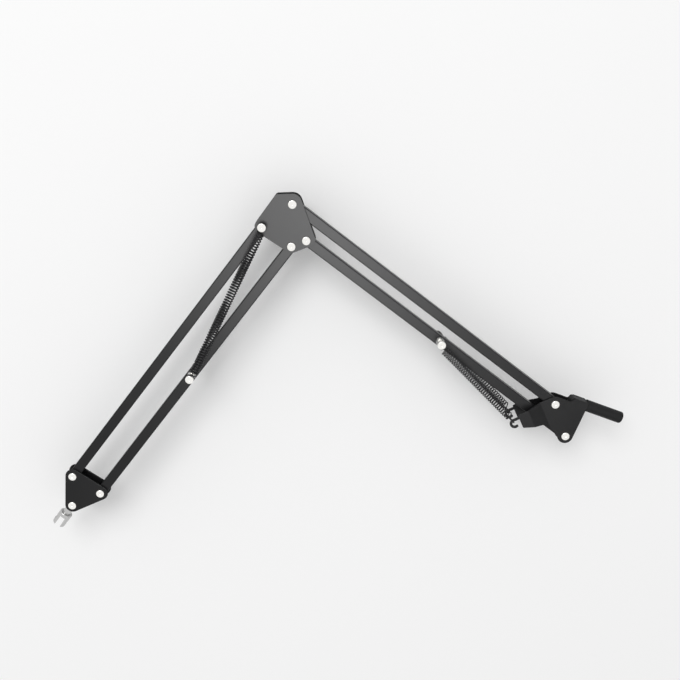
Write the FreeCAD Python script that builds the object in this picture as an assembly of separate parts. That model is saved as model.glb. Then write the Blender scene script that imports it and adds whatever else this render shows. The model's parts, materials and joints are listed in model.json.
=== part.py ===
# Spring-balanced boom arm for a microphone: a yoke on a post, two parallelogram sections of square tube,
# an elbow and a head of paired plates, four extension springs and a fork for the microphone clip.
# Millimetres. The arm lies in the XZ plane, +Z is up and the post points down.
# The origin is on the post's axis, where the post's round part meets its shoulder.
import FreeCAD, Part
import math
import os

from FreeCAD import Vector

os.makedirs("parts", exist_ok=True)

# Arm sections
tube_side = 10.0
tube_wall = 1.0
tube_corner_radius = 1.0
lower_arm_length = 330.0
upper_arm_length = 330.0
lower_pivot_spacing = 36.7
upper_pivot_spacing = 33.3

# Rest pose, degrees from +X towards +Z
lower_arm_angle = 72.9
upper_arm_angle = 162.3
lower_pivot_angle = -139.4
upper_pivot_angle = -105.2

# Pivots
plate_thickness = 1.5
washer_thickness = 0.5
washer_radius = 4.6
side_clearance = 0.1
rivet_radius = 2.5
rivet_head_radius = 4.15
rivet_head_height = 1.8
rivet_head_edge_radius = 0.9
running_clearance = 0.06
bush_wall = 1.4

# Base yoke and post
post_radius = 6.0
post_length = 40.0
post_end_radius = 1.5
post_tongue_height = 17.5
post_tongue_half_width = 4.4
post_tongue_corner = 2.5
pivot_to_post = 8.2
cheek_radius = 7.9
cheek_lobe_reach = 4.6
cheek_lobe_height = 14.0
cheek_step_height = 18.2
cheek_corner_radius = 1.2

# Yoke ears, measured from the upper base pivot along the ear and across it
ear_angle = 135.0
ear_reach = 38.8
ear_tip_drop = 7.2
ear_root_reach = 18.2
ear_root_drop = 15.0
ear_flank_reach = 10.7
ear_flank_drop = 29.1
ear_corner_radius = 1.5
ear_inner_radius = 4.0
ear_bend_start = 13.5
ear_bend_end = 27.3
ear_bend_radius = 2.0

# Hook finger on each ear
hook_offset = 6.1
hook_rise = 0.75
hook_radius = 3.7
hook_width = 2.6
hook_sweep_angle = 200.0

# Elbow plates
elbow_crest_angle = 22.3
elbow_crest_radius = 9.2
elbow_crest_rise = 0.9
elbow_crest_reach = 13.2
elbow_crest_corner_radius = 3.5
elbow_shoulder = 2.7
elbow_corner_radius = 6.2
elbow_pin_corner_radius = 7.4
elbow_pin_across = 29.4
elbow_pin_up = 19.7

# Head plates
head_corner_radius = 7.6

# Springs and their pins
spring_plane = 13.5
tube_pin_plane = 17.4
spring_wire = 1.0
spring_coil_radius = 3.9
spring_seat_gap = 0.3
spring_pin_place_share = 0.5
spring_journal_radius = 2.0
elbow_journal_end = 14.8
tube_journal_end = 18.8
pin_head_height = 2.0
pin_collar_thickness = 1.5
upper_spring_turns = 27.5
lower_spring_turns = 18.75

# Microphone fork
fork_eye_radius = 5.5
fork_neck_radius = 4.2
fork_radius = 6.75
fork_start = 15.0
fork_end = 31.0
fork_edge_radius = 1.2
fork_slot_width = 6.0
fork_slot_depth = 12.0
fork_hole_radius = 2.6
fork_hole_inset = 6.0

# How far cutting shapes run past what they cut
overrun = 5.0
# Spacing of the points on which a spring's least gap is measured
measure_step = 0.4

across = Vector(0, 1, 0)
upright = Vector(0, 0, 1)


def heading(angle):
    # Unit vector in the arm's plane
    turn = math.radians(angle)
    return Vector(math.cos(turn), 0, math.sin(turn))


def left_of(direction):
    # The same vector turned a quarter turn from +X towards +Z
    return Vector(-direction.z, 0, direction.x)


# Places that follow from the sizes above
tube_half = tube_side / 2
plate_inner = tube_half + washer_thickness + side_clearance
plate_outer = plate_inner + plate_thickness
swing_radius = rivet_radius + running_clearance

lower_run = heading(lower_arm_angle)
upper_run = heading(upper_arm_angle)
lower_link = heading(lower_pivot_angle) * lower_pivot_spacing
upper_link = heading(upper_pivot_angle) * upper_pivot_spacing

base_top = Vector(-pivot_to_post, 0, cheek_radius - lower_link.z)
base_low = base_top + lower_link
elbow_top = base_top + lower_run * lower_arm_length
elbow_low = base_low + lower_run * lower_arm_length
elbow_pin = elbow_top + Vector(-elbow_pin_across, 0, elbow_pin_up)
elbow_side = elbow_pin + upper_link
head_top = elbow_pin + upper_run * upper_arm_length
head_low = elbow_side + upper_run * upper_arm_length
head_tip = head_top + heading(upper_pivot_angle - 60) * upper_pivot_spacing
lower_spring_pin = base_low + lower_run * lower_arm_length * spring_pin_place_share
upper_spring_pin = elbow_side + upper_run * upper_arm_length * spring_pin_place_share

ear_run = heading(ear_angle)
ear_across = heading(ear_angle - 90)
hook_centre = base_top + ear_run * (ear_reach + hook_offset) + ear_across * hook_rise


def cylinder(centre, radius, low, high):
    # Round bar along Y between two depths
    return Part.makeCylinder(radius, high - low, Vector(centre.x, low, centre.z), across)


def ring(centre, outer, inner, low, high):
    return cylinder(centre, outer, low, high).cut(cylinder(centre, inner, low - overrun, high + overrun))


def prism(wire, depth):
    # Solid that a flat outline sweeps along Y, to both sides of the arm's plane
    solid = Part.Face(wire).extrude(across * (2 * depth))
    solid.translate(across * -depth)
    return solid


def disc_hull(discs):
    # Outline round a chain of discs, listed counter-clockwise as seen from the front
    count = len(discs)
    tangents = []
    for index, (centre, radius) in enumerate(discs):
        following, next_radius = discs[(index + 1) % count]
        gap = following - centre
        along = gap * (1 / gap.Length)
        lean = (radius - next_radius) / gap.Length
        tangents.append(along * lean - left_of(along) * math.sqrt(1 - lean * lean))
    edges = []
    for index, (centre, radius) in enumerate(discs):
        arrive = tangents[index - 1]
        leave = tangents[index]
        start = math.degrees(math.atan2(arrive.z, arrive.x))
        sweep = (math.degrees(math.atan2(leave.z, leave.x)) - start) % 360
        middle = centre + heading(start + sweep / 2) * radius
        edges.append(Part.Arc(centre + arrive * radius, middle, centre + leave * radius).toShape())
        following, next_radius = discs[(index + 1) % count]
        edges.append(Part.LineSegment(centre + leave * radius, following + leave * next_radius).toShape())
    return Part.Wire(edges)


def rounded_outline(corners):
    # Closed outline through corners, each with the radius that rounds it; zero keeps it sharp
    count = len(corners)
    runs = []
    for index, (corner, radius) in enumerate(corners):
        before = (corners[index - 1][0] - corner).normalize()
        after = (corners[(index + 1) % count][0] - corner).normalize()
        half = math.acos(max(-1, min(1, before.dot(after)))) / 2
        setback = radius / math.tan(half)
        bisector = (before + after).normalize()
        middle = corner + bisector * (radius / math.sin(half) - radius)
        runs.append((corner + before * setback, middle, corner + after * setback, radius))
    edges = []
    for index, (enter, middle, leave, radius) in enumerate(runs):
        if radius > 0:
            edges.append(Part.Arc(enter, middle, leave).toShape())
        edges.append(Part.LineSegment(leave, runs[(index + 1) % count][0]).toShape())
    return Part.Wire(edges)


def save(name, solids):
    shape = solids[0] if len(solids) == 1 else Part.makeCompound(solids)
    shape.exportStep("parts/" + name + ".step")
    print(name, "solids", len(shape.Solids), "valid", shape.isValid(), "volume", round(shape.Volume, 1))


def both_sides(front):
    # A piece and its mirror image on the other side of the arm's plane
    return [front, front.mirror(Vector(), across)]


# Fasteners


def headed_pin(centre, shank_radius, journal_radius, journal_start, head_start, head_height):
    # Pin along Y: a middle shank, thinner journals beyond it, and a rounded head at each end
    head_end = head_start + head_height
    pin = cylinder(centre, shank_radius, -journal_start, journal_start)
    for solid in both_sides(cylinder(centre, journal_radius, journal_start, head_end)):
        pin = pin.fuse(solid)
    for solid in both_sides(cylinder(centre, rivet_head_radius, head_start, head_end)):
        pin = pin.fuse(solid)
    pin = pin.removeSplitter()
    rims = [edge for edge in pin.Edges if abs(abs(edge.BoundBox.YMin) - head_end) < running_clearance
            and edge.BoundBox.YLength < running_clearance]
    return pin.makeFillet(rivet_head_edge_radius, rims)


def rivet(centre):
    return headed_pin(centre, rivet_radius, rivet_radius, plate_outer, plate_outer, rivet_head_height)


def washers(centre):
    return both_sides(ring(centre, washer_radius, swing_radius, plate_inner - washer_thickness, plate_inner))


# Square tubes


def square_tube(start, end, swing_points, fixed_points):
    # Hollow square tube with rounded ends that swing clear, bored at its pivots and at any fixed pin
    run = end - start
    length = run.Length
    run = run.normalize()
    side = left_of(run)
    first = start - run * (tube_half + overrun)

    def bar(half, radius):
        corners = [(first + side * (half * u) + across * (half * v), radius)
                   for u, v in ((1, 1), (-1, 1), (-1, -1), (1, -1))]
        return Part.Face(rounded_outline(corners)).extrude(run * (length + 2 * (tube_half + overrun)))

    hollow = bar(tube_half, tube_corner_radius).cut(bar(tube_half - tube_wall, 0))
    tube = hollow.common(prism(disc_hull([(start, tube_half), (end, tube_half)]), tube_side))
    for point in swing_points:
        tube = tube.cut(cylinder(point, swing_radius, -tube_side, tube_side))
    for point in fixed_points:
        tube = tube.cut(cylinder(point, rivet_radius, -tube_side, tube_side))
    return tube


def bushes(swing_points, fixed_points):
    # Sleeves inside a tube that keep its walls from being crushed
    inside = tube_half - tube_wall
    sleeves = [ring(point, swing_radius + bush_wall, swing_radius, -inside, inside) for point in swing_points]
    for point in fixed_points:
        sleeves.append(ring(point, rivet_radius + bush_wall, rivet_radius, -inside, inside))
    return sleeves


# Plates


def plate_pair(outline, holes):
    sheet = Part.Face(outline).extrude(across * plate_thickness)
    sheet.translate(across * plate_inner)
    for point in holes:
        sheet = sheet.cut(cylinder(point, rivet_radius, 0, plate_outer + overrun))
    return both_sides(sheet)


def elbow_outline():
    crest = heading(elbow_crest_angle)
    crest_centre = elbow_top + crest * elbow_crest_rise
    crest_corner = crest_centre + crest * (elbow_crest_radius - elbow_crest_corner_radius)
    crest_corner = crest_corner + left_of(crest) * elbow_crest_reach
    outward = left_of(heading(lower_pivot_angle))
    return disc_hull([
        (elbow_pin, elbow_pin_corner_radius),
        (elbow_side, elbow_corner_radius),
        (elbow_low + outward * elbow_shoulder, elbow_corner_radius),
        (crest_centre, elbow_crest_radius),
        (crest_corner, elbow_crest_corner_radius),
    ])


def head_outline():
    return disc_hull([(point, head_corner_radius) for point in (head_top, head_tip, head_low)])


# Yoke


def ear_point(along, offset):
    return base_top + ear_run * along + ear_across * offset


def joggled_sheet():
    # Endless sheet bent outwards between two bend lines, seen edge-on along the ear
    step = spring_plane - plate_thickness / 2 - plate_inner
    far = ear_reach + hook_offset + 2 * hook_radius + overrun
    near = lower_pivot_spacing + post_length
    reach = lower_pivot_spacing + ear_reach

    def sheet_corner(along, depth):
        return ear_point(along, -reach) + across * depth

    outer = plate_inner + plate_thickness
    corners = [
        (sheet_corner(-near, plate_inner), 0),
        (sheet_corner(ear_bend_start, plate_inner), ear_bend_radius + plate_thickness),
        (sheet_corner(ear_bend_end, plate_inner + step), ear_bend_radius),
        (sheet_corner(far, plate_inner + step), 0),
        (sheet_corner(far, outer + step), 0),
        (sheet_corner(ear_bend_end, outer + step), ear_bend_radius + plate_thickness),
        (sheet_corner(ear_bend_start, outer), ear_bend_radius),
        (sheet_corner(-near, outer), 0),
    ]
    return Part.Face(rounded_outline(corners)).extrude(ear_across * (2 * reach))


def hook_profile(depth):
    # Finger that leaves the ear's end, then curls back round the spring's loop
    finger_low = hook_rise + hook_radius - hook_width / 2
    corners = [
        (ear_point(ear_reach - hook_width, finger_low), 0),
        (ear_point(ear_reach + hook_offset, finger_low), 0),
        (ear_point(ear_reach + hook_offset, finger_low + hook_width), 0),
        (ear_point(ear_reach - hook_width, finger_low + hook_width), 0),
    ]
    finger = prism(rounded_outline(corners), depth)
    outer = hook_radius + hook_width / 2
    curl = ring(hook_centre, outer, outer - hook_width, -depth, depth)
    start = ear_angle - 90
    sweep = [hook_centre]
    steps = 4
    for index in range(steps + 1):
        sweep.append(hook_centre + heading(start + hook_sweep_angle * index / steps) * (3 * hook_radius))
    curl = curl.common(prism(Part.makePolygon(sweep + [hook_centre]), depth))
    tip = cylinder(hook_centre + heading(start + hook_sweep_angle) * hook_radius, hook_width / 2, -depth, depth)
    return finger.fuse(curl).fuse(tip)


def yoke_cheek():
    depth = spring_plane + plate_thickness
    body = disc_hull([
        (base_low, cheek_radius),
        (Vector(base_top.x, 0, cheek_radius), cheek_radius),
        (base_top, cheek_radius),
    ])
    lobe = rounded_outline([
        (Vector(base_top.x, 0, 0), 0),
        (Vector(cheek_lobe_reach, 0, 0), cheek_corner_radius),
        (Vector(cheek_lobe_reach, 0, cheek_lobe_height), cheek_corner_radius),
        (Vector(base_top.x + cheek_radius, 0, cheek_step_height), 0),
        (Vector(base_top.x, 0, cheek_step_height), 0),
    ])
    flank = ear_point(ear_flank_reach, -ear_flank_drop)
    gap = flank - base_low
    turn = math.degrees(math.atan2(gap.z, gap.x)) + math.degrees(math.acos(cheek_radius / gap.Length))
    ear = rounded_outline([
        (base_top, 0),
        (ear_point(0, cheek_radius), 0),
        (ear_point(ear_reach, cheek_radius), ear_corner_radius),
        (ear_point(ear_reach, -ear_tip_drop), ear_corner_radius),
        (ear_point(ear_root_reach, -ear_root_drop), ear_inner_radius),
        (flank, ear_inner_radius),
        (base_low + heading(turn) * cheek_radius, 0),
        (base_low, 0),
    ])
    blank = prism(body, depth).fuse(prism(lobe, depth)).fuse(prism(ear, depth)).fuse(hook_profile(depth))
    cheek = blank.common(joggled_sheet())
    for point in (base_top, base_low):
        cheek = cheek.cut(cylinder(point, rivet_radius, 0, plate_outer + overrun))
    return cheek.removeSplitter()


def post():
    # Round post with a squared tongue that is welded between the cheeks
    bar = Part.makeCylinder(post_radius, post_length, Vector(0, 0, -post_length), upright)
    rim = [edge for edge in bar.Edges if edge.BoundBox.ZMax < -post_length / 2]
    bar = bar.makeFillet(post_end_radius, rim)
    corners = [
        (Vector(-post_tongue_half_width, 0, 0), 0),
        (Vector(post_tongue_half_width, 0, 0), 0),
        (Vector(post_tongue_half_width, 0, post_tongue_height), post_tongue_corner),
        (Vector(-post_tongue_half_width, 0, post_tongue_height), post_tongue_corner),
    ]
    return bar.fuse(prism(rounded_outline(corners), plate_inner)).removeSplitter()


# Microphone fork


def fork():
    run = upper_run
    side = left_of(run)

    def turned(radius, low, high):
        return Part.makeCylinder(radius, high - low, head_tip + run * low, run)

    block = turned(fork_radius, fork_start, fork_end)
    rims = [edge for edge in block.Edges if isinstance(edge.Curve, Part.Circle)]
    block = block.makeFillet(fork_edge_radius, rims)
    eye = cylinder(head_tip, fork_eye_radius, -tube_half, tube_half)
    piece = eye.fuse(turned(fork_neck_radius, 0, fork_start + fork_edge_radius)).fuse(block)
    slot_low = head_tip + run * (fork_end - fork_slot_depth)
    slot_high = head_tip + run * (fork_end + overrun)
    half_slot = side * (fork_slot_width / 2)
    slot = Part.makePolygon([slot_low - half_slot, slot_high - half_slot, slot_high + half_slot,
                             slot_low + half_slot, slot_low - half_slot])
    hole_centre = head_tip + run * (fork_end - fork_hole_inset)
    hole_half = fork_radius + overrun
    hole = Part.makeCylinder(fork_hole_radius, 2 * hole_half, hole_centre - side * hole_half, side)
    piece = piece.cut(prism(slot, fork_radius + overrun)).cut(hole)
    return piece.cut(cylinder(head_tip, swing_radius, -tube_side, tube_side)).removeSplitter()


# Springs


def biarc(start, start_way, end, end_way):
    # Two arcs that meet smoothly between two points with given headings, as a list of point triples
    chord = end - start
    both = start_way + end_way
    slack = 2 * (1 - start_way.dot(end_way))
    reach = chord.dot(both)
    if slack < 1e-9:
        span = chord.dot(chord) / (4 * chord.dot(end_way))
    else:
        span = (math.sqrt(reach * reach + slack * chord.dot(chord)) - reach) / slack
    first_pole = start + start_way * span
    second_pole = end - end_way * span
    joint = (first_pole + second_pole) * 0.5

    def arc_middle(one, pole, other):
        # Midpoint of the arc that is tangent to both legs at its ends
        base = (one + other) * 0.5
        rise = pole - base
        half_chord = (other - one).Length / 2
        leg = (pole - one).Length
        return base + rise * (half_chord / (leg + half_chord))

    return [(start, arc_middle(start, first_pole, joint), joint),
            (joint, arc_middle(joint, second_pole, end), end)]


def spring_end(place, run, side, depth_way, turn, coil_gap):
    # Stations from the last coil to the loop's tail; the loop's centre is at place
    rise = side * math.cos(turn) + depth_way * math.sin(turn)
    flat = depth_way * math.cos(turn) - side * math.sin(turn)
    radius = spring_coil_radius
    return [
        (place + rise * radius, run),
        (place + run * radius, rise * -1),
        (place - rise * radius, run * -1),
        (place - run * radius, rise),
        (place - run * radius + rise * spring_wire, rise),
    ], place - run * coil_gap - flat * radius


def spring(first, first_turn, last, last_turn, turns):
    # Extension spring between two loop centres. A turn of zero puts a loop in the arm's plane,
    # a quarter turn stands it across that plane. Returns the solid and prints its least gap.
    run = (last - first).normalize()
    side = left_of(run).normalize()
    depth_way = run.cross(side)
    radius = spring_coil_radius
    coil_gap = spring_coil_radius + spring_wire
    head, coil_end = spring_end(last, run, side, depth_way, last_turn, coil_gap)
    tail, coil_start = spring_end(first, run * -1, side, depth_way * -1, first_turn, coil_gap)
    begin = coil_start - first
    begin_phase = math.atan2(begin.dot(depth_way), begin.dot(side))
    begin_along = begin.dot(run)
    coil_length = (coil_end - coil_start).dot(run)
    steps = math.ceil(2 * turns)
    stations = [(point, way * -1) for point, way in reversed(tail)]
    for index in range(steps + 1):
        phase = begin_phase + 2 * math.pi * turns * index / steps
        outward = side * math.cos(phase) + depth_way * math.sin(phase)
        around = depth_way * math.cos(phase) - side * math.sin(phase)
        climb = coil_length / (2 * math.pi * turns)
        point = first + run * (begin_along + coil_length * index / steps) + outward * radius
        stations.append((point, (around * radius + run * climb).normalize()))
    stations.extend(head)
    edges = []
    samples = []
    tightest = radius
    for (point, way), (following, next_way) in zip(stations, stations[1:]):
        if (following - point).normalize().dot(way) > 1 - 1e-9:
            edges.append(Part.LineSegment(point, following).toShape())
        else:
            for triple in biarc(point, way, following, next_way):
                edges.append(Part.Arc(*triple).toShape())
                tightest = min(tightest, edges[-1].Curve.Radius)
    for edge in edges:
        samples.extend(edge.discretize(max(2, math.ceil(edge.Length / measure_step) + 1))[:-1])
    path = Part.Wire(edges)
    section = Part.Wire([Part.Circle(stations[0][0], stations[0][1], spring_wire / 2).toShape()])
    solid = path.makePipeShell([section], True, False)
    expected = math.pi * spring_wire * spring_wire / 4 * path.Length
    print("spring length", round(path.Length, 1), "least gap", round(least_gap(samples), 2),
          "tightest bend", round(tightest, 2), "volume against section times length",
          round(solid.Volume / expected, 4))
    return solid


def least_gap(samples):
    # Least clear distance between stretches of the wire that aren't neighbours along it
    skip = math.ceil(math.pi * spring_coil_radius / measure_step)
    best = min((samples[i] - samples[j]).Length
               for i in range(len(samples)) for j in range(i + skip, len(samples)))
    return best - spring_wire


def seated_loop(pin, towards):
    # Centre of a loop that hangs on a journal, pulled against it
    slack = spring_coil_radius - spring_wire / 2 - spring_journal_radius - spring_seat_gap
    return pin + (towards - pin).normalize() * slack


def hooked_loop(hook, towards):
    # Centre of a loop that lies inside the hook finger's curl, pulled against it
    inside = hook_radius - hook_width / 2 - spring_seat_gap - spring_wire / 2
    return hook + (towards - hook).normalize() * (inside + spring_coil_radius)


def spring_pair(first, first_turn, last, last_turn, turns):
    # The back spring is the front one turned half round in the arm's plane, so both are wound to the right
    front = spring(first, first_turn, last, last_turn, turns)
    back = front.copy()
    pull = last - first
    back.rotate(first - across * first.dot(across), pull - across * pull.dot(across), 180)
    return front, back


def spring_pin(centre):
    return headed_pin(centre, rivet_radius, spring_journal_radius, tube_half + pin_collar_thickness,
                      tube_journal_end, pin_head_height)


def pin_collars(centre):
    return both_sides(ring(centre, rivet_head_radius, rivet_radius, tube_half,
                           tube_half + pin_collar_thickness))


# Base
for side_name, solid in zip(("back", "front"), both_sides(yoke_cheek())):
    save("yoke_cheek_" + side_name, [solid])
save("post", [post()])
save("base_rivets", [rivet(base_top), rivet(base_low)])
save("base_washers", washers(base_top) + washers(base_low))

# Lower section
save("lower_arm_upper_tube", [square_tube(base_top, elbow_top, (base_top, elbow_top), ())])
save("lower_arm_upper_bushes", bushes((base_top, elbow_top), ()))
save("lower_arm_lower_tube", [square_tube(base_low, elbow_low, (base_low, elbow_low), (lower_spring_pin,))])
save("lower_arm_lower_bushes", bushes((base_low, elbow_low), (lower_spring_pin,)))
save("lower_spring_pin", [spring_pin(lower_spring_pin)])
save("lower_spring_pin_collars", pin_collars(lower_spring_pin))
hook_place = hook_centre - across * spring_plane
lower_pin_place = lower_spring_pin - across * tube_pin_plane
lower_springs = spring_pair(hooked_loop(hook_place, lower_pin_place), math.pi / 2,
                            seated_loop(lower_pin_place, hook_place), 0, lower_spring_turns)
for side_name, solid in zip(("front", "back"), lower_springs):
    save("lower_spring_" + side_name, [solid])

# Elbow
elbow_pivots = (elbow_top, elbow_low, elbow_side)
for side_name, solid in zip(("back", "front"), plate_pair(elbow_outline(), elbow_pivots + (elbow_pin,))):
    save("elbow_plate_" + side_name, [solid])
save("elbow_rivets", [rivet(point) for point in elbow_pivots])
save("elbow_spring_pin", [headed_pin(elbow_pin, rivet_radius, spring_journal_radius, plate_outer,
                                     elbow_journal_end, pin_head_height)])
save("elbow_washers", [solid for point in elbow_pivots + (elbow_pin,) for solid in washers(point)])

# Upper section
save("upper_arm_upper_tube", [square_tube(elbow_pin, head_top, (elbow_pin, head_top), ())])
save("upper_arm_upper_bushes", bushes((elbow_pin, head_top), ()))
save("upper_arm_lower_tube", [square_tube(elbow_side, head_low, (elbow_side, head_low), (upper_spring_pin,))])
save("upper_arm_lower_bushes", bushes((elbow_side, head_low), (upper_spring_pin,)))
save("upper_spring_pin", [spring_pin(upper_spring_pin)])
save("upper_spring_pin_collars", pin_collars(upper_spring_pin))
upper_pin_place = upper_spring_pin - across * tube_pin_plane
elbow_pin_place = elbow_pin - across * spring_plane
upper_springs = spring_pair(seated_loop(upper_pin_place, elbow_pin_place), 0,
                            seated_loop(elbow_pin_place, upper_pin_place), 0, upper_spring_turns)
for side_name, solid in zip(("front", "back"), upper_springs):
    save("upper_spring_" + side_name, [solid])

# Head
for side_name, solid in zip(("back", "front"), plate_pair(head_outline(), (head_top, head_low, head_tip))):
    save("head_plate_" + side_name, [solid])
save("head_rivets", [rivet(head_top), rivet(head_low)])
save("head_washers", washers(head_top) + washers(head_low))
save("fork_rivet", [rivet(head_tip)])
save("fork_washers", washers(head_tip))
save("microphone_fork", [fork()])
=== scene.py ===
import json
import math

import bpy
from mathutils import Matrix, Vector

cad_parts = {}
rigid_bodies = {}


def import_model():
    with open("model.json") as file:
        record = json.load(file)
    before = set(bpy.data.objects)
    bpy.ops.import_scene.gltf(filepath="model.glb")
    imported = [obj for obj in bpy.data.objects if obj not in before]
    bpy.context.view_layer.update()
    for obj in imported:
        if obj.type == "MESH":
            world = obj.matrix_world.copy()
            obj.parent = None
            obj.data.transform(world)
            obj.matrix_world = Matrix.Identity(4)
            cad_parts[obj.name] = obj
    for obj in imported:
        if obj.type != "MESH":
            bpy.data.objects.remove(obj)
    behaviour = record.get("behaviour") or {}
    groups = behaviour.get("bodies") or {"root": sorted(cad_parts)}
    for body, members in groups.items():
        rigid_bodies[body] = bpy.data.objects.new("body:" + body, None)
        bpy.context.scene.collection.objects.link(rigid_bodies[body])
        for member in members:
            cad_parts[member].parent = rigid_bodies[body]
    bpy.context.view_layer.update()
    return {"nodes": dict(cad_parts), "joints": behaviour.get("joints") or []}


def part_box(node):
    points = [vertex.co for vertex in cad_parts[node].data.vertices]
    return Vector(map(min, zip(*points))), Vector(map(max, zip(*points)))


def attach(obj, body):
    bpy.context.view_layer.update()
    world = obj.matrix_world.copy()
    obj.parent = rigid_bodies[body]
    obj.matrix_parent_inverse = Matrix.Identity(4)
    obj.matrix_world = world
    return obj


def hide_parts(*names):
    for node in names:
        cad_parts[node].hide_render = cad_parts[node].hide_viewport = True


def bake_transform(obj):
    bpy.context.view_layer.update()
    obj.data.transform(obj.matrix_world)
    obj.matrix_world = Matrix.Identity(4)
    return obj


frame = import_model()
nodes = frame["nodes"]
print("frame loaded:", len(nodes), "nodes")


# Pivots of the arm, read from the joints so that every piece sits on its own pin
pivot = {joint["name"]: Vector(joint["pos_m"]) for joint in frame["joints"] if "pos_m" in joint}
baseTop, baseLow = pivot["lower_arm"], pivot["lower_bar_follow"]
elbowTop, elbowPin, elbowSide = pivot["elbow_level"], pivot["upper_arm"], pivot["upper_bar_follow"]
headTop, headTip = pivot["head_level"], pivot["fork_tilt"]
elbowLow = elbowTop + baseLow - baseTop
headLow = headTop + elbowSide - elbowPin
lowerSpringPin = (baseLow + elbowLow) / 2
upperSpringPin = (elbowSide + headLow) / 2
hookCentre = pivot["lower_spring_swing"]
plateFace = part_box("elbow_plate_back")[1].y


# Small tools for picking and shaping

smoothAngle = math.radians(35)  # sharper edges stay crisp
hair = 0.00001  # places nearer than this count as one
squareOn = 0.99  # a normal with this much of an axis faces along it


def activate(piece):
    bpy.ops.object.select_all(action="DESELECT")
    piece.select_set(True)
    bpy.context.view_layer.objects.active = piece


def pick(piece, kind, test):
    # selects faces or edges of the active piece by their place and normal, and stays in edit mode
    bpy.ops.object.mode_set(mode="EDIT")
    bpy.ops.mesh.select_mode(type=kind)
    bpy.ops.mesh.select_all(action="DESELECT")
    bpy.ops.object.mode_set(mode="OBJECT")
    mesh = piece.data
    if kind == "FACE":
        for face in mesh.polygons:
            face.select = test(face.center, face.normal)
    else:
        for edge in mesh.edges:
            ends = [mesh.vertices[i].co for i in edge.vertices]
            edge.select = test(*ends)
    bpy.ops.object.mode_set(mode="EDIT")


def settle(piece):
    # leaves edit mode with the place in the mesh and the object at the origin
    bpy.ops.object.mode_set(mode="OBJECT")
    activate(piece)
    bpy.ops.object.transform_apply(location=True, rotation=True, scale=True)
    bpy.ops.object.shade_smooth_by_angle(angle=smoothAngle)
    return piece


def joinPieces(name, pieces):
    bpy.ops.object.select_all(action="DESELECT")
    for piece in pieces:
        piece.select_set(True)
    bpy.context.view_layer.objects.active = pieces[0]
    bpy.ops.object.join()
    pieces[0].name = name
    return pieces[0]


def copyTo(source, place, turned=False):
    # own mesh for each copy; turned faces it to the back of the arm
    copy = source.copy()
    copy.data = source.data.copy()
    bpy.context.scene.collection.objects.link(copy)
    turn = Matrix.Rotation(math.pi, 4, "Z") if turned else Matrix.Identity(4)
    copy.data.transform(Matrix.Translation(place) @ turn)
    return copy


def discard(piece):
    bpy.data.objects.remove(piece, do_unlink=True)


# Shader tools

class Field:
    # a socket that can be used in sums, so that 1 - mask adds the Math node for it
    def __init__(self, shader, socket):
        self.shader = shader
        self.socket = socket

    def math(self, operation, first, second=0.0):
        node = self.shader.node("ShaderNodeMath", {"operation": operation}, {0: first, 1: second})
        return Field(self.shader, node.outputs[0])

    def __add__(self, other):
        return self.math("ADD", self, other)

    def __radd__(self, other):
        return self.math("ADD", other, self)

    def __sub__(self, other):
        return self.math("SUBTRACT", self, other)

    def __rsub__(self, other):
        return self.math("SUBTRACT", other, self)

    def __mul__(self, other):
        return self.math("MULTIPLY", self, other)

    def __rmul__(self, other):
        return self.math("MULTIPLY", other, self)


class Shader:
    def __init__(self, name, owners=bpy.data.materials, outputKind="ShaderNodeOutputMaterial"):
        self.owner = owners.new(name)
        self.owner.use_nodes = True
        self.tree = self.owner.node_tree
        self.tree.nodes.clear()
        self.output = self.node(outputKind, {}, {})
        self.coords = self.node("ShaderNodeTexCoord", {}, {}).outputs

    def node(self, kind, settings, sockets):
        # any node: its settings first, then the values or links of its sockets
        node = self.tree.nodes.new(kind)
        for key, value in settings.items():
            setattr(node, key, value)
        for key, value in sockets.items():
            if isinstance(value, Field):
                self.tree.links.new(value.socket, node.inputs[key])
            elif isinstance(value, bpy.types.NodeSocket):
                self.tree.links.new(value, node.inputs[key])
            else:
                node.inputs[key].default_value = value
        return node

    def noise(self, scale, detail, roughness, vector=None):
        node = self.node("ShaderNodeTexNoise", {"noise_dimensions": "3D"}, {
            "Vector": vector or self.coords["Object"], "Scale": scale, "Detail": detail, "Roughness": roughness})
        return Field(self, node.outputs["Fac"])

    def smoothStep(self, value, start, end, low=0.0, high=1.0):
        node = self.node("ShaderNodeMapRange", {"interpolation_type": "SMOOTHSTEP"}, {
            "Value": value, "From Min": start, "From Max": end, "To Min": low, "To Max": high})
        return Field(self, node.outputs[0])

    def mix(self, factor, first, second):
        node = self.node("ShaderNodeMix", {"data_type": "RGBA"}, {"Factor": factor, 6: first, 7: second})
        return node.outputs[2]

    def bump(self, height, strength, distance):
        node = self.node("ShaderNodeBump", {}, {"Height": height, "Strength": strength, "Distance": distance})
        return node.outputs["Normal"]

    def surface(self, sockets):
        return self.show(self.node("ShaderNodeBsdfPrincipled", {}, sockets))

    def show(self, node):
        self.tree.links.new(node.outputs[0], self.output.inputs["Surface"])
        return self.owner


# Finishes; each noise is its scale, detail and roughness, and each bump its strength and height in metres

noiseMean = 0.5

coatLook = {"dark": (0.0070, 0.0070, 0.0075, 1), "pale": (0.0110, 0.0110, 0.0115, 1), "specular": 0.18,
            "gloss": 0.31, "glossSpread": 0.08, "grainGloss": 0.08, "cloudShare": 0.7, "peelShare": 0.7,
            "cloud": (55, 3.0, 0.55), "grain": (2600, 2.0, 0.6), "peel": (910, 1.0, 0.5),
            "orangePeel": (0.35, 0.00004)}
# the sheet's cut edges are duller than its faces
sheetLook = dict(coatLook, edgeGloss=0.75, edgeFacing=(0.3, 0.8))
# the post is paler and duller than the tubes
postLook = dict(coatLook, dark=(0.0180, 0.0180, 0.0185, 1), pale=(0.0225, 0.0225, 0.0230, 1),
                specular=0.05, gloss=0.44)


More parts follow.
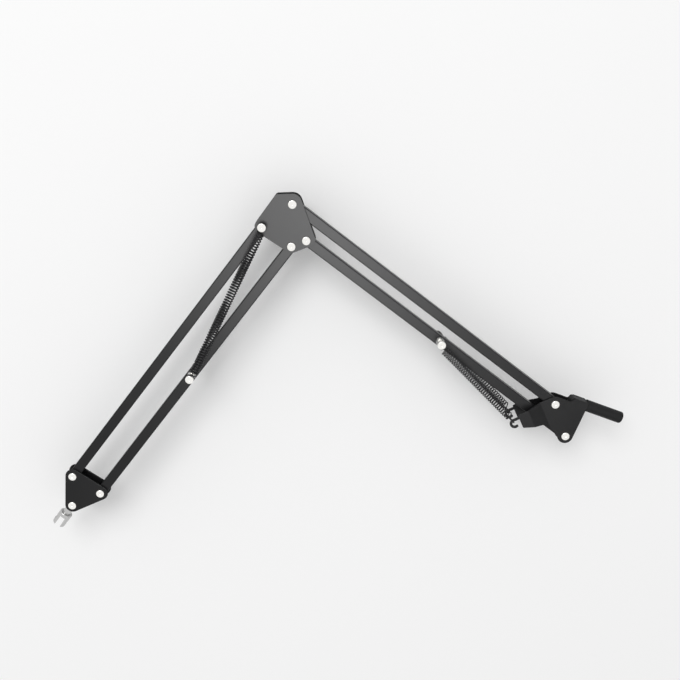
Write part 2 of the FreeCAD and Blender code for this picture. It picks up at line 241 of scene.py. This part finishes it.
def powderCoat(name, look):
    shader = Shader(name)
    cloud = shader.noise(*look["cloud"])
    grain = shader.noise(*look["grain"])
    peel = shader.noise(*look["peel"])
    tone = cloud * look["cloudShare"] + grain * (1 - look["cloudShare"])
    skin = peel * look["peelShare"] + grain * (1 - look["peelShare"])
    gloss = (look["gloss"] + (cloud - noiseMean) * look["glossSpread"]
             + (grain - noiseMean) * look["grainGloss"])
    if "edgeGloss" in look:
        # faces that look along the arm's plane are the sheet's edges
        split = shader.node("ShaderNodeSeparateXYZ", {}, {0: shader.coords["Normal"]})
        depth = Field(shader, split.outputs["Y"])
        edge = shader.smoothStep(depth.math("ABSOLUTE", depth), *look["edgeFacing"], low=1.0, high=0.0)
        gloss = gloss + edge * (look["edgeGloss"] - look["gloss"])
    return shader.surface({
        "Base Color": shader.mix(tone, look["dark"], look["pale"]),
        "Roughness": gloss,
        "Specular IOR Level": look["specular"],
        "Normal": shader.bump(skin, *look["orangePeel"]),
    })


# turned: how the scratches are drawn out across the arm
nickelLook = {"bright": (0.93, 0.92, 0.89, 1), "dull": (0.85, 0.84, 0.81, 1), "gloss": 0.20, "glossSpread": 0.16,
              "scratchGloss": 0.10, "cloud": (260, 3.0, 0.6), "scratch": (3200, 2.0, 0.65),
              "turned": (1.0, 0.12, 1.0), "groove": (0.12, 0.00002)}
# darker cast nickel: the fork's own duller finish, and on the spring pin collars painted shade from the spring
# loops over them
castLook = dict(nickelLook, bright=(0.60, 0.60, 0.59, 1), dull=(0.42, 0.42, 0.42, 1), gloss=0.26, glossSpread=0.20,
                cloud=(420, 3.0, 0.6), scratch=(2400, 2.0, 0.65))


def nickelPlate(name, look):
    shader = Shader(name)
    cloud = shader.noise(*look["cloud"])
    drawnOut = shader.node("ShaderNodeMapping", {"vector_type": "POINT"}, {
        "Vector": shader.coords["Object"], "Scale": look["turned"]}).outputs[0]
    scratch = shader.noise(*look["scratch"], drawnOut)
    return shader.surface({
        "Base Color": shader.mix(cloud, look["bright"], look["dull"]),
        "Metallic": 1.0,
        "Roughness": (look["gloss"] + (cloud - noiseMean) * look["glossSpread"]
                      + (scratch - noiseMean) * look["scratchGloss"]),
        "Normal": shader.bump(scratch, *look["groove"]),
    })


wireLook = {"dark": (0.006, 0.006, 0.007, 1), "pale": (0.012, 0.012, 0.013, 1), "specular": 0.25,
            "gloss": 0.30, "glossSpread": 0.14, "drawn": (1800, 2.0, 0.6), "cloud": (140, 2.0, 0.5),
            "groove": (0.15, 0.00002)}


def springWire(name, look):
    shader = Shader(name)
    drawn = shader.noise(*look["drawn"])
    cloud = shader.noise(*look["cloud"])
    return shader.surface({
        "Base Color": shader.mix(cloud, look["dark"], look["pale"]),
        "Roughness": look["gloss"] + (drawn - noiseMean) * look["glossSpread"],
        "Specular IOR Level": look["specular"],
        "Normal": shader.bump(drawn, *look["groove"]),
    })


nylonLook = {"dark": (0.03, 0.03, 0.03, 1), "pale": (0.055, 0.055, 0.054, 1), "metal": 0.0,
             "gloss": 0.55, "glossSpread": 0.2, "speck": (1500, 2.0, 0.6), "skin": (0.2, 0.00003)}
steelLook = {"dark": (0.50, 0.50, 0.51, 1), "pale": (0.62, 0.62, 0.63, 1), "metal": 1.0,
             "gloss": 0.34, "glossSpread": 0.2, "speck": (2200, 2.0, 0.6), "skin": (0.15, 0.00002)}


def speckled(name, look):
    shader = Shader(name)
    speck = shader.noise(*look["speck"])
    return shader.surface({
        "Base Color": shader.mix(speck, look["dark"], look["pale"]),
        "Metallic": look["metal"],
        "Roughness": look["gloss"] + (speck - noiseMean) * look["glossSpread"],
        "Normal": shader.bump(speck, *look["skin"]),
    })


blackCoat = powderCoat("blackPowderCoat", coatLook)
sheetCoat = powderCoat("sheetPowderCoat", sheetLook)
postCoat = powderCoat("postPowderCoat", postLook)
nickel = nickelPlate("brightNickel", nickelLook)
castNickel = nickelPlate("castNickel", castLook)
blackWire = springWire("blackSpringWire", wireLook)
nylon = speckled("blackNylon", nylonLook)
steel = speckled("plainSteel", steelLook)
print("finishes ready")


def dress(piece, material):
    piece.data.materials.clear()
    piece.data.materials.append(material)
    return piece


# Nodes whose CAD shape is right keep it and get their finish
keptNodes = {
    "post": postCoat,
    "lower_arm_upper_tube": blackCoat, "lower_arm_lower_tube": blackCoat,
    "upper_arm_upper_tube": blackCoat, "upper_arm_lower_tube": blackCoat,
    "lower_arm_upper_bushes": steel, "lower_arm_lower_bushes": steel,
    "upper_arm_upper_bushes": steel, "upper_arm_lower_bushes": steel,
    "base_washers": nylon, "elbow_washers": nylon, "head_washers": nylon, "fork_washers": nylon,
    "microphone_fork": castNickel,
    # the spring pin collars take the darker cast nickel as painted shade from the spring loops over them
    "lower_spring_pin_collars": castNickel, "upper_spring_pin_collars": castNickel,
}
for nodeName, finish in keptNodes.items():
    nodes[nodeName].data.materials.clear()
    nodes[nodeName].data.materials.append(finish)
print("kept nodes dressed:", len(keptNodes))


# Pressed plates: the sheet's cut edges are broken as by tumbling

# flat: faces that meet within this many degrees become one
plateLook = {"edge": 0.00035, "segments": 3, "edgeAngle": 50, "merge": 0.000002, "flat": 0.8}
plateBodies = {
    "elbow_plate_front": "elbow", "elbow_plate_back": "elbow",
    "head_plate_front": "head", "head_plate_back": "head",
    "yoke_cheek_front": "base", "yoke_cheek_back": "base",
}


def pressedPlate(nodeName, body, look):
    plate = nodes[nodeName].copy()
    plate.data = nodes[nodeName].data.copy()
    plate.parent = None
    bpy.context.scene.collection.objects.link(plate)
    plate.name = nodeName + "_pressed"
    activate(plate)
    bpy.ops.object.mode_set(mode="EDIT")
    bpy.ops.mesh.select_all(action="SELECT")
    bpy.ops.mesh.remove_doubles(threshold=look["merge"])
    bpy.ops.mesh.dissolve_limited(angle_limit=math.radians(look["flat"]))
    bpy.ops.object.mode_set(mode="OBJECT")
    bevel = plate.modifiers.new("edge", "BEVEL")
    bevel.width = look["edge"]
    bevel.segments = look["segments"]
    bevel.limit_method = "ANGLE"
    bevel.angle_limit = math.radians(look["edgeAngle"])
    bpy.ops.object.modifier_apply(modifier="edge")
    settle(plate)
    plate.modifiers.new("flatFaces", "WEIGHTED_NORMAL").keep_sharp = True
    bpy.ops.object.modifier_apply(modifier="flatFaces")
    dress(plate, sheetCoat)
    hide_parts(nodeName)
    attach(plate, body)


for nodeName, body in plateBodies.items():
    pressedPlate(nodeName, body, plateLook)
print("plates and cheeks pressed")


# Rivets and spring pins: turned heads with a rounded rim and a shallow centre mark

# markWall is a share of the mark's radius, and markStep, its second step, a share of its depth
rivetLook = {"head": 0.00415, "height": 0.0018, "rim": 0.0008, "rimSegments": 5, "sides": 48,
             "mark": 0.0011, "markDepth": 0.00025, "markWall": 0.35, "markStep": 0.3}
pinLook = dict(rivetLook, height=0.0020, rim=0.0007, mark=0.0012, markDepth=0.0003)
shankLook = {"radius": 0.0025, "journal": 0.0020, "elbowEnd": 0.0148, "tubeEnd": 0.0188, "collarEnd": 0.0065,
             "sides": 32, "chamfer": 0.0001, "chamferSegments": 2}


def turnedHead(look):
    # one head on the plane y = 0, facing the front
    height = look["height"]
    bpy.ops.object.select_all(action="DESELECT")
    bpy.ops.mesh.primitive_cylinder_add(vertices=look["sides"], radius=look["head"], depth=height,
                                        location=(0, -height / 2, 0), rotation=(math.pi / 2, 0, 0))
    head = bpy.context.object
    settle(head)
    top = -height + hair
    markWall = look["mark"] * look["markWall"]
    pick(head, "EDGE", lambda a, b: a.y < top and b.y < top)
    bpy.ops.mesh.bevel(offset=look["rim"], segments=look["rimSegments"], affect="EDGES")
    pick(head, "FACE", lambda place, normal: normal.y < -squareOn and place.y < top)
    bpy.ops.mesh.inset(thickness=look["head"] - look["rim"] - look["mark"], depth=0)
    bpy.ops.mesh.inset(thickness=markWall, depth=-look["markDepth"])
    bpy.ops.mesh.inset(thickness=markWall, depth=-look["markDepth"] * look["markStep"])
    return settle(head)


def turnedShank(radius, reach):
    # round bar along Y, with the same reach to the front and the back
    bpy.ops.object.select_all(action="DESELECT")
    bpy.ops.mesh.primitive_cylinder_add(vertices=shankLook["sides"], radius=radius, depth=2 * reach,
                                        location=(0, 0, 0), rotation=(math.pi / 2, 0, 0))
    shank = bpy.context.object
    settle(shank)
    pick(shank, "EDGE", lambda a, b: abs(a.y - b.y) < hair)
    bpy.ops.mesh.bevel(offset=shankLook["chamfer"], segments=shankLook["chamferSegments"], affect="EDGES")
    return settle(shank)


def fastenerSet(name, nodeName, body, places, look, shanks):
    # shanks are pairs of radius and reach, and the last one carries the heads
    head = turnedHead(look)
    bars = [turnedShank(*sizes) for sizes in shanks]
    headPlace = Vector((0, shanks[-1][1], 0))
    parts = []
    for place in places:
        parts.append(copyTo(head, place - headPlace))
        parts.append(copyTo(head, place + headPlace, True))
        parts += [copyTo(bar, place) for bar in bars]
    for source in [head] + bars:
        discard(source)
    piece = joinPieces(name, parts)
    dress(piece, nickel)
    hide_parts(nodeName)
    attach(piece, body)


rivetShank = [(shankLook["radius"], plateFace)]
longShank = [(shankLook["radius"], shankLook["collarEnd"]), (shankLook["journal"], shankLook["tubeEnd"])]
elbowShank = [(shankLook["radius"], plateFace), (shankLook["journal"], shankLook["elbowEnd"])]
fastenerSet("baseRivets", "base_rivets", "base", (baseTop, baseLow), rivetLook, rivetShank)
fastenerSet("elbowRivets", "elbow_rivets", "elbow", (elbowTop, elbowLow, elbowSide), rivetLook, rivetShank)
fastenerSet("headRivets", "head_rivets", "head", (headTop, headLow), rivetLook, rivetShank)
fastenerSet("forkRivet", "fork_rivet", "head", (headTip,), rivetLook, rivetShank)
fastenerSet("lowerSpringPin", "lower_spring_pin", "lower_lower_bar", (lowerSpringPin,), pinLook, longShank)
fastenerSet("upperSpringPin", "upper_spring_pin", "upper_lower_bar", (upperSpringPin,), pinLook, longShank)
fastenerSet("elbowSpringPin", "elbow_spring_pin", "elbow", (elbowPin,), pinLook, elbowShank)
print("rivets and pins turned")


# Springs: one unbroken wire each, loop to loop, cut into lengths

# shift: how far the coils sit to one side of the loop at each end; slide: how far along they sit
lowerSpringLook = {"wire": 0.0011, "coil": 0.00377, "pitch": 0.00283, "perTurn": 22, "sides": 2, "lengths": 6,
                   "shiftFront": (-0.0010, 0.0020), "shiftBack": (-0.0024, -0.0006),
                   "slideFront": 0, "slideBack": 0}
upperSpringLook = {"wire": 0.00128, "coil": 0.0038, "pitch": 0.00283, "perTurn": 22, "sides": 2, "lengths": 4,
                   "shiftFront": (-0.0010, -0.0010), "shiftBack": (-0.0004, -0.0004),
                   "slideFront": -0.0006, "slideBack": 0.0008}
seatLook = {"hookPlane": 0.0135, "lowerPlane": 0.0174, "upperPlane": 0.0170, "gap": 0.0003,
            "hookRadius": 0.0037, "hookWidth": 0.0026}
loopLook = {"arcSteps": 8, "leadSteps": 10}
halvings = 50  # of the interval in which a weight's place is found


def arcPoints(centre, fromWay, toWay, radius):
    # quarter of a circle from one direction to the other, without its last point
    angles = [math.pi / 2 * i / loopLook["arcSteps"] for i in range(loopLook["arcSteps"])]
    return [centre + fromWay * radius * math.cos(angle) + toWay * radius * math.sin(angle) for angle in angles]


def easeBetween(start, startWay, end, endWay):
    # smooth wire from one heading to another, without its last point
    reach = (end - start).length
    points = []
    for i in range(loopLook["leadSteps"]):
        t = i / loopLook["leadSteps"]
        points.append(start * (2 * t ** 3 - 3 * t ** 2 + 1) + startWay * reach * (t ** 3 - 2 * t ** 2 + t)
                      + end * (3 * t ** 2 - 2 * t ** 3) + endWay * reach * (t ** 3 - t ** 2))
    return points


def springPath(first, firstTurn, last, lastTurn, look, facing):
    # points of the wire's centre between two loop centres; a turn of a quarter stands a loop across the arm
    coil, wire = look["coil"], look["wire"]
    aside = Vector((first.z - last.z, 0, last.x - first.x)).normalized()
    shift, slide = look["shift" + facing], look["slide" + facing]
    low, high = first + aside * shift[0], last + aside * shift[1]
    run = (high - low).normalized()
    low, high = low + run * slide, high + run * slide
    side = Vector((-run.z, 0, run.x)).normalized()
    depth = run.cross(side)

    def loopEnd(place, coilEnd, way, depthWay, turn):
        rise = side * math.cos(turn) + depthWay * math.sin(turn)
        flat = depthWay * math.cos(turn) - side * math.sin(turn)
        start = coilEnd - way * (coil + wire) - flat * coil
        points = easeBetween(start, rise, place + rise * coil, way)
        points += arcPoints(place, rise, way, coil) + arcPoints(place, way, -rise, coil)
        points += arcPoints(place, -rise, -way, coil)
        return points + [place - way * coil, place - way * coil + rise * wire]

    head = loopEnd(last, high, run, depth, lastTurn)
    tail = loopEnd(first, low, -run, -depth, firstTurn)
    begin, end = tail[0] - low, head[0] - low
    phase = math.atan2(begin.dot(depth), begin.dot(side))
    phaseEnd = math.atan2(end.dot(depth), end.dot(side))
    length = (end - begin).dot(run)
    turns = round(length / look["pitch"]) + ((phaseEnd - phase) / (2 * math.pi)) % 1
    steps = int(turns * look["perTurn"])
    points = tail[:0:-1]
    for i in range(steps):
        angle = phase + 2 * math.pi * turns * i / steps
        points.append(low + run * (begin.dot(run) + length * i / steps)
                      + (side * math.cos(angle) + depth * math.sin(angle)) * coil)
    return points, head


def wireMesh(name, points, look):
    curve = bpy.data.curves.new(name, "CURVE")
    curve.dimensions = "3D"
    curve.bevel_depth = look["wire"] / 2
    curve.bevel_resolution = look["sides"]
    curve.use_fill_caps = True
    line = curve.splines.new("POLY")
    line.points.add(len(points) - 1)
    for spot, point in zip(line.points, points):
        spot.co = (*point, 1)
    wire = bpy.data.objects.new(name, curve)
    bpy.context.scene.collection.objects.link(wire)
    activate(wire)
    bpy.ops.object.convert(target="MESH")
    bpy.ops.object.shade_smooth()
    return dress(bpy.context.object, blackWire)


def easeInverse(weight):
    # where the smooth step reaches this weight
    low, high = 0.0, 1.0
    for _ in range(halvings):
        middle = (low + high) / 2
        low, high = (middle, high) if middle * middle * (3 - 2 * middle) < weight else (low, middle)
    return low


def hungSpring(name, nodeName, path, anchors, weight, look, loopBody=None):
    # anchors are the points that move fully with each body; a loop body carries the last loop by itself
    coils, loop = path
    run = anchors[1] - anchors[0]
    points = coils + loop[:1] if loopBody else coils + loop
    share = [(point - anchors[0]).dot(run) / run.length_squared for point in points]
    cuts = [i / look["lengths"] for i in range(look["lengths"] + 1)]
    pieces = []
    for low, high in zip(cuts, cuts[1:]):
        inside = [i for i, t in enumerate(share) if (t >= low or low == 0) and (t <= high or high == 1)]
        part = points[max(0, inside[0] - 1):inside[-1] + 2]  # reaches a point into each neighbour
        piece = wireMesh(f"{name}{len(pieces) + 1}", part, look)
        lowEase, highEase = easeInverse(weight(low)), easeInverse(weight(high))
        step = (high - low) / (highEase - lowEase)
        start = anchors[0] + run * (low - lowEase * step)
        end = anchors[0] + run * (high + (1 - highEase) * step)
        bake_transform(piece)
        pieces.append(piece)
    if loopBody:
        lastLoop = wireMesh(name + "Loop", loop, look)
        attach(lastLoop, loopBody)
    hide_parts(nodeName)


def atDepth(point, depth):
    return Vector((point.x, depth, point.z))


def seatedLoop(pin, towards, look):
    slack = look["coil"] - look["wire"] / 2 - shankLook["journal"] - seatLook["gap"]
    return pin + (towards - pin).normalized() * slack


nearReach, farReach = (hookCentre - baseLow).length, (lowerSpringPin - baseLow).length


def swingWeight(t):
    # share of the tube's swing that keeps the spring straight between its hook and its pin
    return t * farReach / (nearReach + t * (farReach - nearReach))


def slideWeight(t):
    # the upper springs stretch evenly
    return t


hookInside = seatLook["hookRadius"] - seatLook["hookWidth"] / 2 - seatLook["gap"] - lowerSpringLook["wire"] / 2
for facing, sign, turn in (("Front", -1, 0), ("Back", 1, math.pi)):
    hookPlace = atDepth(hookCentre, sign * seatLook["hookPlane"])
    lowerPinPlace = atDepth(lowerSpringPin, sign * seatLook["lowerPlane"])
    upperPinPlace = atDepth(upperSpringPin, sign * seatLook["upperPlane"])
    elbowPinPlace = atDepth(elbowPin, sign * seatLook["hookPlane"])
    pull = (lowerPinPlace - hookPlace).normalized()
    hookSeat = hookPlace + pull * hookInside
    lowerPath = springPath(hookSeat + pull * lowerSpringLook["coil"], turn + math.pi / 2,
                           seatedLoop(lowerPinPlace, hookPlace, lowerSpringLook), turn, lowerSpringLook, facing)
    upperPath = springPath(seatedLoop(upperPinPlace, elbowPinPlace, upperSpringLook), turn,
                           seatedLoop(elbowPinPlace, upperPinPlace, upperSpringLook), turn,
                           upperSpringLook, facing)
    hungSpring("lowerSpring" + facing, "lower_spring_" + facing.lower(), lowerPath, (hookSeat, lowerPinPlace),
               swingWeight, lowerSpringLook)
    hungSpring("upperSpring" + facing, "upper_spring_" + facing.lower(), upperPath,
               (upperPinPlace, elbowPinPlace), slideWeight,
               upperSpringLook, "elbow")
print("springs wound")


# Stage: the arm lies in front of a pale sheet, as in a shot from above

stageLook = {"sheet": 0.0400, "size": 6.0, "floor": -0.35, "fade": (0.55, 1.30), "paper": (4.0, 2.0, 0.5),
             "pale": (0.93, 0.93, 0.93, 1), "shaded": (0.9207, 0.9207, 0.9207, 1)}


def paleSheet(name, look, oneSided):
    # the backdrop is clear from behind, and the floor runs out softly into the white of the room
    shader = Shader(name)
    colour = shader.mix(shader.noise(*look["paper"]), look["pale"], look["shaded"])
    paper = shader.node("ShaderNodeBsdfDiffuse", {}, {"Color": colour, "Roughness": 0.0})
    clear = shader.node("ShaderNodeBsdfTransparent", {}, {})
    if oneSided:
        away = shader.node("ShaderNodeNewGeometry", {}, {}).outputs["Backfacing"]
    else:
        reach = shader.node("ShaderNodeVectorMath", {"operation": "LENGTH"}, {0: shader.coords["Object"]})
        away = shader.smoothStep(reach.outputs["Value"], *look["fade"])
    return shader.show(shader.node("ShaderNodeMixShader", {}, {
        0: away, 1: paper.outputs[0], 2: clear.outputs[0]}))


def stagePlane(name, location, rotation, material):
    bpy.ops.object.select_all(action="DESELECT")
    bpy.ops.mesh.primitive_plane_add(size=stageLook["size"], location=location, rotation=rotation)
    plane = bpy.context.object
    plane.name = name
    bpy.ops.object.transform_apply(location=True, rotation=True, scale=True)
    plane.data.materials.append(material)
    return plane


stagePlane("paleBackdrop", (0, stageLook["sheet"], 0), (math.pi / 2, 0, 0),
           paleSheet("backdropPaper", stageLook, True))
floorMiddle = (0, stageLook["sheet"] - stageLook["size"] / 2, stageLook["floor"])  # the floor ends at the sheet
floor = stagePlane("paleFloor", floorMiddle, (0, 0, 0), paleSheet("floorPaper", stageLook, False))
floor.visible_diffuse = False


# Light and camera

cameraLook = {"right": (0.3481, 0.0, -0.9375), "up": (0.8982, 0.2865, 0.3335), "back": (0.2686, -0.9581, 0.0997),
              "place": (0.2006, -0.7948, 0.3409), "focal": 834.3, "frame": 680, "sensor": 36}
lightLook = {"ambient": 0.725, "reflected": 1.0, "aim": (-0.05, 0, 0.26),
             "key": 67.0, "keySize": 2.6, "keyTilt": 38, "keyAcross": 0.4, "keyReach": 4.2,
             "wide": 6.0, "wideSize": 1.2, "wideSpot": (-0.02, -1.25, 0.16),
             "core": 18.5, "coreSize": 0.6, "coreSpot": (-0.02, -1.25, 0.29)}

right, up, back, eye = (Vector(cameraLook[key]) for key in ("right", "up", "back", "place"))
lens = bpy.data.cameras.new("photoCamera")
lens.sensor_width = cameraLook["sensor"]
lens.lens = cameraLook["sensor"] * cameraLook["focal"] / cameraLook["frame"]
camera = bpy.data.objects.new("photoCamera", lens)
bpy.context.scene.collection.objects.link(camera)
camera.matrix_world = Matrix((
    (right.x, up.x, back.x, eye.x),
    (right.y, up.y, back.y, eye.y),
    (right.z, up.z, back.z, eye.z),
    (0, 0, 0, 1)))
bpy.context.scene.camera = camera


def softLamp(name, spot, aim, power, size):
    lamp = bpy.data.lights.new(name, "AREA")
    lamp.shape = "DISK"
    lamp.energy = power
    lamp.size = size
    holder = bpy.data.objects.new(name, lamp)
    bpy.context.scene.collection.objects.link(holder)
    holder.location = spot
    holder.visible_camera = False
    holder.rotation_euler = (aim - spot).to_track_quat("-Z", "Y").to_euler()
    return holder


# the key stands over the upper left corner of the picture, a little off the sheet's upright
keyAim = Vector(lightLook["aim"])
keyTilt = math.radians(lightLook["keyTilt"])
keyCorner = (Vector((up.x, 0, up.z)).normalized() - right * lightLook["keyAcross"]).normalized()
keyWay = keyCorner * math.sin(keyTilt) - Vector((0, 1, 0)) * math.cos(keyTilt)
softLamp("keyLamp", keyAim + keyWay * lightLook["keyReach"], keyAim, lightLook["key"], lightLook["keySize"])

# soft reflectors that only the gloss of the paint shows; the bright metal shows the room
painted = bpy.data.collections.new("paintedPieces")
paints = (blackCoat, sheetCoat, postCoat, blackWire)
for piece in bpy.data.objects:
    if piece.type == "MESH" and piece.data.materials and piece.data.materials[0] in paints:
        painted.objects.link(piece)
for panelName in ("wide", "core"):
    spot = Vector(lightLook[panelName + "Spot"])
    panel = softLamp(panelName + "Reflector", spot, atDepth(spot, 0), lightLook[panelName],
                     lightLook[panelName + "Size"])
    panel.visible_diffuse = False
    panel.light_linking.receiver_collection = painted

# the room is white to the eye and in reflections, and a plain ambient light to everything else
studio = Shader("paleStudio", bpy.data.worlds, "ShaderNodeOutputWorld")
rays = studio.node("ShaderNodeLightPath", {}, {}).outputs
looked, glossy, through = (Field(studio, rays[f"Is {kind} Ray"]) for kind in ("Camera", "Glossy", "Transmission"))
seen = looked.math("MINIMUM", looked + glossy + through, 1.0)
bpy.context.scene.world = studio.show(studio.node("ShaderNodeBackground", {}, {
    "Color": (1, 1, 1, 1),
    "Strength": lightLook["ambient"] + seen * (lightLook["reflected"] - lightLook["ambient"])}))
bpy.context.scene.view_settings.view_transform = "Standard"
print("stage, lamps and camera set")
